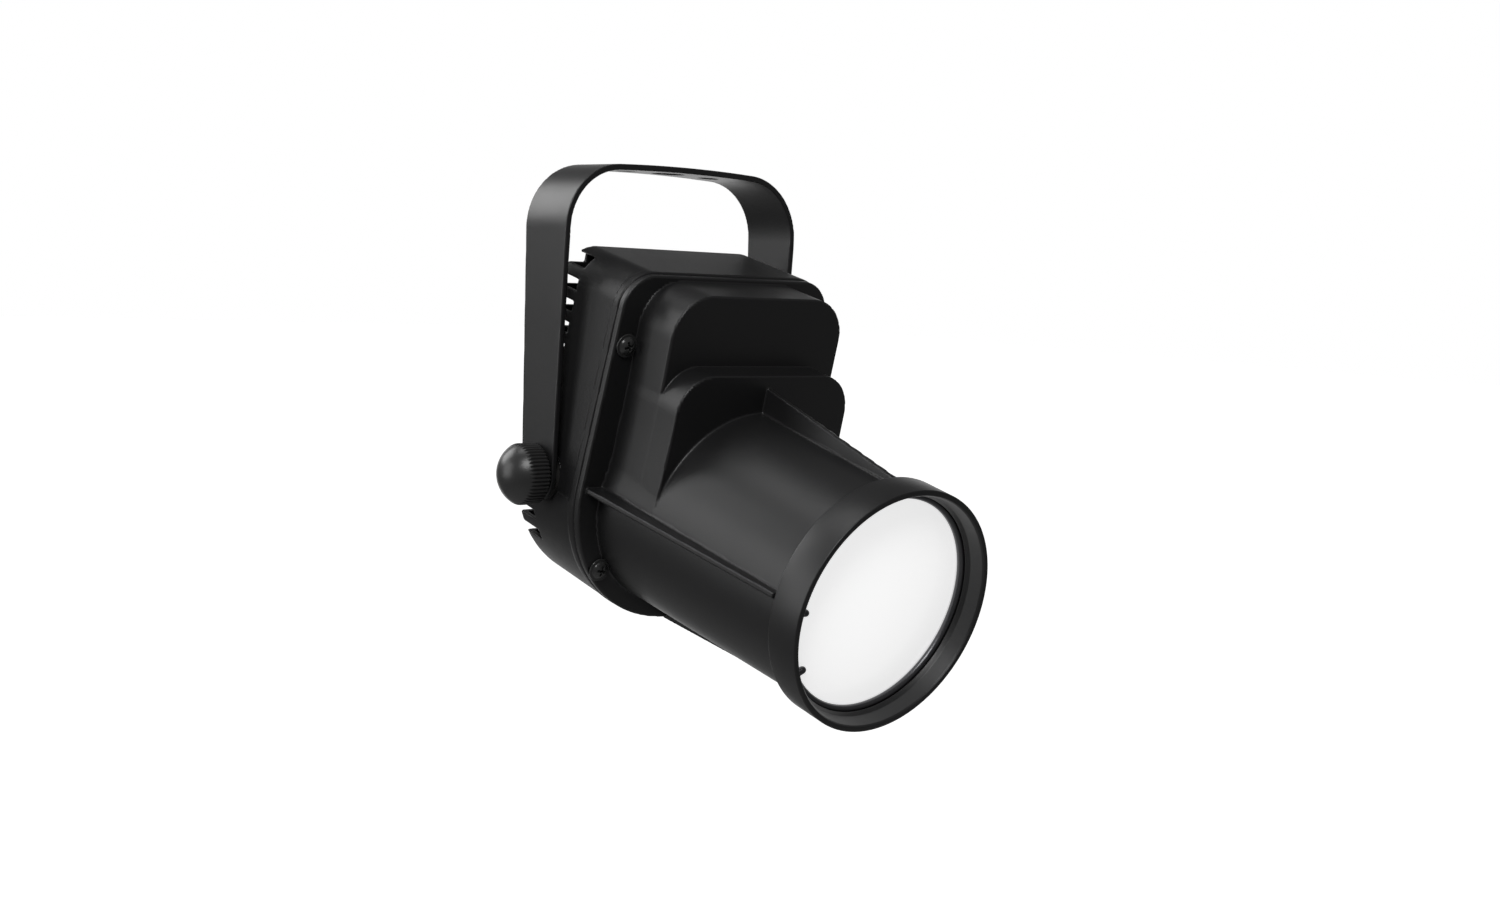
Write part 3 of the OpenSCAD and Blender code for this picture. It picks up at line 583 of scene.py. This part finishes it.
# ---------------------------------------------------------------- materials
def shader(name, base, rough, metal=0.0, grain=0.0, grain_size=0.4, wear=0.05, **extra):
    """Principled material with noise in its roughness and colour, and a fine bumped grain."""
    mat = bpy.data.materials.new(name)
    mat.use_nodes = True
    nodes, links = mat.node_tree.nodes, mat.node_tree.links
    nodes.clear()
    out = nodes.new("ShaderNodeOutputMaterial")
    bsdf = nodes.new("ShaderNodeBsdfPrincipled")
    links.new(bsdf.outputs["BSDF"], out.inputs["Surface"])
    coords = nodes.new("ShaderNodeTexCoord")
    bsdf.inputs["Metallic"].default_value = metal
    for key, value in extra.items():
        bsdf.inputs[key].default_value = value

    def noise(size_mm, detail, roughness):
        node = nodes.new("ShaderNodeTexNoise")
        node.inputs["Scale"].default_value = 1000.0 / size_mm
        node.inputs["Detail"].default_value = detail
        node.inputs["Roughness"].default_value = roughness
        links.new(coords.outputs["Object"], node.inputs["Vector"])
        return node

    cloudy = noise(28.0, 4.0, 0.6)
    ramp = nodes.new("ShaderNodeMapRange")
    ramp.inputs["To Min"].default_value = max(0.02, rough - wear)
    ramp.inputs["To Max"].default_value = min(1.0, rough + wear)
    links.new(cloudy.outputs["Fac"], ramp.inputs["Value"])
    links.new(ramp.outputs["Result"], bsdf.inputs["Roughness"])
    mix = nodes.new("ShaderNodeMix")
    mix.data_type = "RGBA"
    mix.inputs["A"].default_value = (*[c * 0.88 for c in base], 1)
    mix.inputs["B"].default_value = (*[min(1, c * 1.12) for c in base], 1)
    speck = noise(grain_size * 1.6, 3.0, 0.6)
    links.new(speck.outputs["Fac"], mix.inputs["Factor"])
    links.new(mix.outputs["Result"], bsdf.inputs["Base Color"])
    if grain > 0:
        fine = noise(grain_size, 3.0, 0.55)
        bump = nodes.new("ShaderNodeBump")
        bump.inputs["Strength"].default_value = grain
        bump.inputs["Distance"].default_value = 0.0001
        links.new(fine.outputs["Fac"], bump.inputs["Height"])
        links.new(bump.outputs["Normal"], bsdf.inputs["Normal"])
    return mat


BLACK = (0.011, 0.011, 0.0115)
MATERIALS = {
    "housing_black": shader("satin_black_housing", BLACK, 0.4, grain=0.16, grain_size=0.5),
    "yoke_black": shader("satin_black_yoke", BLACK, 0.38, grain=0.14, grain_size=0.4),
    "knob_plastic": shader("black_knob_plastic", (0.026, 0.026, 0.026), 0.33, grain=0.12),
    "screw_black": shader("gloss_black_screw", (0.03, 0.03, 0.03), 0.2, grain=0.02),
    "steel": shader("plain_steel", (0.55, 0.55, 0.56), 0.32, metal=1.0, grain=0.05),
    "brass": shader("turned_brass", (0.72, 0.52, 0.24), 0.3, metal=1.0, grain=0.03),
    "rubber": shader("black_rubber", (0.015, 0.015, 0.015), 0.6, grain=0.1),
    "fibre": shader("fibre_disc", (0.014, 0.013, 0.012), 0.8, grain=0.4),
    "lens_glass": shader("lit_lens_glass", (0.9, 0.9, 0.9), 0.12, wear=0.02),
    "clip_wire": shader("dark_spring_wire", (0.09, 0.09, 0.095), 0.3, metal=0.8, grain=0.02),
    "mirror_metal": shader("bright_mirror", (0.9, 0.9, 0.91), 0.05, metal=1.0, wear=0.02),
    "bare_aluminium": shader("bare_aluminium", (0.7, 0.71, 0.73), 0.38, metal=1.0, grain=0.08),
    "circuit_board": shader("green_circuit_board", (0.02, 0.12, 0.05), 0.4, grain=0.1),
    "white_board": shader("white_light_board", (0.8, 0.8, 0.78), 0.4, grain=0.02),
    "phosphor": shader("yellow_phosphor", (0.85, 0.65, 0.12), 0.5, grain=0.05),
    "black_plastic": shader("black_moulded_plastic", (0.016, 0.016, 0.017), 0.45, grain=0.15),
    "dark_parts": shader("dark_components", (0.03, 0.03, 0.035), 0.45, grain=0.05),
    "panel_film": shader("grey_panel_film", (0.035, 0.035, 0.038), 0.5, grain=0.08),
    "red_window": shader("dark_red_window", (0.06, 0.002, 0.002), 0.12, wear=0.02),
    "button_grey": shader("grey_buttons", (0.12, 0.12, 0.13), 0.42, grain=0.05),
    "rocker_black": shader("gloss_rocker", (0.015, 0.015, 0.015), 0.22, grain=0.02),
}
lens_shader = MATERIALS["lens_glass"].node_tree.nodes["Principled BSDF"]
lens_shader.inputs["Emission Color"].default_value = (1, 1, 1, 1)
lens_shader.inputs["Emission Strength"].default_value = 0.72
lens_shader.inputs["Coat Weight"].default_value = 0.6
lens_shader.inputs["Coat Roughness"].default_value = 0.03

rough_black = shader("grained_black_housing", BLACK, 0.42, grain=0.5, grain_size=0.9)
rough_black.node_tree.nodes["Principled BSDF"].inputs["Specular IOR Level"].default_value = 0.32

for part in frame["record"]["subparts"]:
    node = frame["nodes"][part["node"]]
    node.data.materials.clear()
    node.data.materials.append(MATERIALS[part["material_slot"]])

# ---------------------------------------------------------------- mouldings and yoke
front = surfaced("front_moulding", front_shape, (-61, 23.5, -62), (61, 145, 97), 0.95, head_to_row)
finish_piece(front, "head", "housing_black", "front_housing")

rear = surfaced("rear_shell", rear_shape, (-61, -21, -62), (61, 27, 97), 0.95, head_to_row)
finish_piece(rear, "head", "housing_black", "rear_housing")
rear.data.materials[0] = rough_black

yoke = surfaced("yoke_bar", yoke_shape, (-64.5, -17, -145), (64.5, 17, 1.5), 0.7, row_to_row)
finish_piece(yoke, "yoke", "yoke_black", "yoke_bracket")


# ---------------------------------------------------------------- lens tube, lens and clip
def lens_tube():
    """Tube with its rubber ring's groove, and the collar that holds the lens and its clip."""
    profile = rounded_profile([
        (41.4, 100, 0.2), (42.8, 100, 0.3), (43.42, 100.6, 0.3), (43.42, 101.5, 0), (42.02, 101.5, 0),
        (42.02, 103.1, 0), (43.42, 103.1, 0), (43.42, COLLAR_U, 0), (COLLAR_R, COLLAR_U, 0.5),
        (COLLAR_R, RIM_U, 0.55), (47.9, RIM_U, 0.4), (47.4, RIM_U - 0.8, 0.4), (46.3, RIM_U - 6.4, 1.2),
        (44.9, RIM_U - 8.4, 0.9), (46.2, RIM_U - 9.0, 0.2), (46.2, RIM_U - 11.4, 0.1),
        (44.8, RIM_U - 11.6, 0), (44.8, COLLAR_U + 1.2, 0), (41.4, COLLAR_U + 1.2, 0.2)])
    return turned("lens_tube", profile, 224)


def lens_disc():
    """Plano-convex lens: a flat back, a cylindrical edge and a spherical front."""
    ball_r = (LENS_R**2 + LENS_SAG**2) / (2 * LENS_SAG)
    profile = [(0.0, LENS_U), (LENS_R, LENS_U)]
    for r in np.linspace(LENS_R, 0.0, 24):
        profile.append((r, LENS_U + LENS_EDGE + LENS_SAG - ball_r + math.sqrt(ball_r**2 - r * r)))
    return turned("lens_disc", np.array(profile), 160, closed=False)


def polar(r, degrees, u):
    """Head-frame point at an angle round the beam axis."""
    a = math.radians(degrees)
    return (r * math.cos(a), u, AXIS_V + r * math.sin(a))


def clip_path():
    """Ring from the lower end round to the upper one, with both ends bent in over the lens."""
    legs = []
    for end, sign, tip in CLIP_ENDS:
        leg = [polar(r, end, CLIP_U + (CLIP_R - r) * CLIP_RISE)
               for r in np.linspace(tip, CLIP_R - CLIP_BEND, 5)]
        for k in range(1, 7):
            a = math.radians(90 * k / 6)
            turn = math.degrees(CLIP_BEND * (1 - math.cos(a)) / CLIP_R)
            leg.append(polar(CLIP_R - CLIP_BEND + CLIP_BEND * math.sin(a), end + sign * turn,
                             CLIP_U + CLIP_BEND * (1 - math.sin(a)) * CLIP_RISE))
        legs.append(leg)
    gap = math.degrees(CLIP_BEND / CLIP_R) * 1.3
    first, last = CLIP_ENDS[0][0] + gap, CLIP_ENDS[1][0] - gap
    ring = [polar(CLIP_R, a, CLIP_U) for a in np.linspace(first, last, 150)]
    path = np.array(legs[0] + ring + legs[1][::-1])
    return head_to_row(*path.T)


finish_piece(lens_tube(), "focus", "housing_black", "focus_tube")
finish_piece(lens_disc(), "focus", "lens_glass", "front_lens")
finish_piece(tube("lens_clip", clip_path(), CLIP_WIRE * MM), "focus", "clip_wire", "lens_circlip")


# ---------------------------------------------------------------- knobs and screws
def knob_mesh(name, side):
    """Fluted grip cut by a high domed cap; side is -1 for the left knob."""
    segments = KNOB_FLUTES * 8
    ball_r = (KNOB_R**2 + KNOB_DOME**2) / (2 * KNOB_DOME)
    middle = KNOB_GRIP + KNOB_DOME - ball_r
    angles = np.arange(segments) * 2 * math.pi / segments
    tooth = np.clip(np.cos(angles * KNOB_FLUTES) * 1.3 + 0.3, -1.0, 1.0)
    grip = KNOB_R - FLUTE_DEPTH * (1 - tooth) / 2
    heights = np.concatenate([np.linspace(0.0, 6.8, 9), np.linspace(7.2, 11.0, 24)])
    cap = middle + ball_r * np.sin(np.linspace(math.asin((11.2 - middle) / ball_r), math.pi / 2, 22))
    rings = [(0.0, np.full(segments, KNOB_BORE_R)), (0.0, grip - 1.0), (0.35, grip - 0.25)]
    for s in np.concatenate([heights[1:], cap]):
        dome = math.sqrt(max(ball_r**2 - (s - middle) ** 2, 0.0))
        gap = np.clip((dome - grip) / 0.3, -1, 1)
        soft = 0.3 * (1 - np.abs(gap)) ** 2 / 4
        rings.append((s, np.minimum(grip, dome) - np.minimum(soft, dome)))
    rows = []
    for s, radius in rings:
        x = np.full(segments, side * (KNOB_X + s))
        rows.append(head_to_row(x, radius * np.cos(angles), radius * np.sin(angles)))
    count = len(rows)
    i, j = np.meshgrid(np.arange(count - 1), np.arange(segments), indexing="ij")
    k = (j + 1) % segments
    faces = np.stack([i * segments + j, i * segments + k, (i + 1) * segments + k,
                      (i + 1) * segments + j], axis=-1).reshape(-1, 4)
    obj = mesh_object(name, np.concatenate(rows), faces)
    fix_normals(obj)
    return obj


def screw_heads():
    """The four flange screws' heads as one piece: one head's mesh, turned and placed four times."""
    pattern = surfaced("screw_pattern", screw_shape, (-5.6, -0.6, -5.6), (5.6, 3.6, 5.6), 0.18,
                       lambda x, u, v: np.stack([x, u, v], axis=-1))
    local = np.empty(len(pattern.data.vertices) * 3, np.float32)
    pattern.data.vertices.foreach_get("co", local)
    local = local.reshape(-1, 3)
    quads = np.array([p.vertices[:] for p in pattern.data.polygons])
    places = [(side * x, v) for x, v in SCREWS for side in (-1, 1)]
    points = []
    for (sx, sv), turn in zip(places, SCREW_TURNS):
        c, s = math.cos(turn), math.sin(turn)
        x = local[:, 0] * c - local[:, 2] * s
        v = local[:, 0] * s + local[:, 2] * c
        points.append(head_to_row(sx + x, FLANGE_U + local[:, 1], sv + v))
    bpy.data.objects.remove(pattern)
    faces = [quads + k * len(local) for k in range(len(places))]
    obj = mesh_object("flange_screw_heads", np.concatenate(points), np.concatenate(faces))
    fix_normals(obj)
    return obj


for side, body in ((-1, "left_knob"), (1, "right_knob")):
    finish_piece(knob_mesh(body + "_cap", side), body, "knob_plastic", body)
finish_piece(screw_heads(), "head", "screw_black", "flange_screws")


# ---------------------------------------------------------------- floor, light and camera
# The camera's place in millimetres, and its azimuth, rise and roll
CAMERA_AT = (-482.4, -625.1, -40.7)
AZIMUTH = math.radians(-40.7)
RISE = math.radians(5.87)
ROLL = math.radians(2.88)
CAMERA_LENS = 42.84
BACKDROP = (-math.sin(AZIMUTH), math.cos(AZIMUTH))

# The floor in metres: its height, half size and grey, and where its far part begins to glow
FLOOR_Z = -1.5
FLOOR_HALF = 30.0
FLOOR_GREY = 0.6
SWEEP_AHEAD = (2.2, 3.0)
SWEEP_WEDGE = (0.83, 0.9)

# The room's own brightness, and where the bright backdrop ends sideways and upwards
ROOM_LIGHT = 0.15
BACKDROP_WIDTH = (0.79, 0.86)
BACKDROP_HEIGHT = (0.42, 0.2)

AIM = (0.0, -0.06, -0.13)


def smooth_range(tree, value, low, high):
    node = tree.nodes.new("ShaderNodeMapRange")
    node.interpolation_type = "SMOOTHSTEP"
    node.inputs["From Min"].default_value = low
    node.inputs["From Max"].default_value = high
    tree.links.new(value, node.inputs["Value"])
    return node.outputs["Result"]


def toward_backdrop(tree, vector):
    """Component of a vector along the horizontal direction of the backdrop."""
    node = tree.nodes.new("ShaderNodeVectorMath")
    node.operation = "DOT_PRODUCT"
    tree.links.new(vector, node.inputs[0])
    node.inputs[1].default_value = (*BACKDROP, 0)
    return node.outputs["Value"]


def product(tree, a, b):
    node = tree.nodes.new("ShaderNodeMath")
    node.operation = "MULTIPLY"
    tree.links.new(a, node.inputs[0])
    tree.links.new(b, node.inputs[1])
    return node.outputs["Value"]


def floor_piece():
    """Floor whose far part glows like a lit sweep, inside a wedge that opens from below the camera."""
    low, high = -FLOOR_HALF, FLOOR_HALF
    corners = [(low, low, FLOOR_Z), (high, low, FLOOR_Z), (high, high, FLOOR_Z), (low, high, FLOOR_Z)]
    obj = mesh_object("floor", corners, [(0, 1, 2, 3)], smooth=False)
    mat = shader("pale_floor", (FLOOR_GREY, FLOOR_GREY, FLOOR_GREY), 0.8, wear=0.05)
    tree = mat.node_tree
    coords = tree.nodes.new("ShaderNodeTexCoord")
    bsdf = tree.nodes["Principled BSDF"]
    bsdf.inputs["Emission Color"].default_value = (1, 1, 1, 1)
    far = smooth_range(tree, toward_backdrop(tree, coords.outputs["Object"]), *SWEEP_AHEAD)
    offset = tree.nodes.new("ShaderNodeVectorMath")
    offset.operation = "SUBTRACT"
    tree.links.new(coords.outputs["Object"], offset.inputs[0])
    offset.inputs[1].default_value = (CAMERA_AT[0] * MM, CAMERA_AT[1] * MM, FLOOR_Z)
    unit = tree.nodes.new("ShaderNodeVectorMath")
    unit.operation = "NORMALIZE"
    tree.links.new(offset.outputs["Vector"], unit.inputs[0])
    within = smooth_range(tree, toward_backdrop(tree, unit.outputs["Vector"]), *SWEEP_WEDGE)
    tree.links.new(product(tree, far, within), bsdf.inputs["Emission Strength"])
    obj.data.materials.append(mat)


def studio_world():
    """Dim room with a white backdrop on the side away from the photographer."""
    world = bpy.data.worlds.new("studio")
    world.use_nodes = True
    tree = world.node_tree
    coords = tree.nodes.new("ShaderNodeTexCoord")
    split = tree.nodes.new("ShaderNodeSeparateXYZ")
    tree.links.new(coords.outputs["Generated"], split.inputs["Vector"])
    ahead = smooth_range(tree, toward_backdrop(tree, coords.outputs["Generated"]), *BACKDROP_WIDTH)
    low = smooth_range(tree, split.outputs["Z"], *BACKDROP_HEIGHT)
    level = tree.nodes.new("ShaderNodeMapRange")
    level.inputs["To Min"].default_value = ROOM_LIGHT
    level.inputs["To Max"].default_value = 1.0
    tree.links.new(product(tree, ahead, low), level.inputs["Value"])
    background = tree.nodes["Background"]
    background.inputs["Color"].default_value = (1, 1, 1, 1)
    tree.links.new(level.outputs["Result"], background.inputs["Strength"])
    bpy.context.scene.world = world


def area_light(name, where, target, width, height, power):
    data = bpy.data.lights.new(name, "AREA")
    data.shape = "RECTANGLE"
    data.size, data.size_y = width, height
    data.energy = power
    obj = bpy.data.objects.new(name, data)
    obj.location = where
    obj.rotation_euler = (Vector(target) - Vector(where)).to_track_quat("-Z", "Y").to_euler()
    bpy.context.scene.collection.objects.link(obj)


floor_piece()
studio_world()
area_light("left_back_softbox", (-0.55, 1.2, 0.6), AIM, 0.8, 0.8, 8.5)
area_light("left_panel", (-1.4, 0.75, 0.1), AIM, 0.9, 1.0, 6)
area_light("top_softbox", (-0.4, 0.4, 1.3), AIM, 0.6, 0.6, 3)
area_light("front_left_softbox", (-1.1, -0.8, 0.9), AIM, 0.7, 0.7, 14)
bpy.context.scene.view_settings.view_transform = "Standard"


def camera():
    """Camera without shift; its axes come from the azimuth, rise and roll."""
    ahead = math.cos(RISE)
    back = Vector((math.sin(AZIMUTH) * ahead, -math.cos(AZIMUTH) * ahead, math.sin(RISE)))
    right = Vector((math.cos(AZIMUTH), math.sin(AZIMUTH), 0.0))
    up = back.cross(right)
    c, s = math.cos(ROLL), math.sin(ROLL)
    x_axis, y_axis = right * c + up * s, up * c - right * s
    data = bpy.data.cameras.new("photo_view")
    data.sensor_width = 36.0
    data.lens = CAMERA_LENS
    data.clip_start = 0.01
    data.clip_end = 100.0
    obj = bpy.data.objects.new("photo_view", data)
    bpy.context.scene.collection.objects.link(obj)
    rows = [[x_axis[i], y_axis[i], back[i], CAMERA_AT[i] * MM] for i in range(3)]
    obj.matrix_world = Matrix(rows + [[0, 0, 0, 1]])
    bpy.context.scene.camera = obj


camera()
